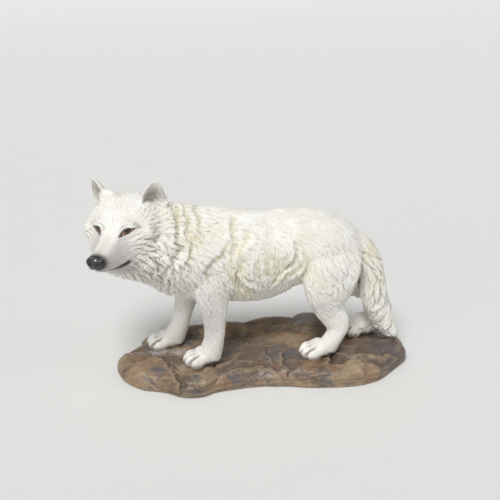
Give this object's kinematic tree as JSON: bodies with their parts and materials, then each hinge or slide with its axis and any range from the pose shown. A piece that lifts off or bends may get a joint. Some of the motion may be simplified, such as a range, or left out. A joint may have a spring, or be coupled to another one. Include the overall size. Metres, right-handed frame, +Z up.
{
  "type": "wolf figurine",
  "caption": "White wolf standing on a slab of brown rock with its head turned to its left, cast and painted as one ornament.",
  "frame": {"origin": "middle of the slab's flat underside", "axes": "+Z up; the wolf's body runs along X and walks towards -X; its left side, to which the head turns, faces -Y"},
  "size_m": [0.2541, 0.101, 0.1681],
  "materials": {
    "white_paint": "satin paint on cast resin",
    "rock_paint": "semi-gloss brown paint on cast resin",
    "gloss_paint": "gloss paint on the nose and eyes"
  },
  "bodies": {
    "root": {"wolf_figurine": "white_paint"}
  },
  "joints": []
}
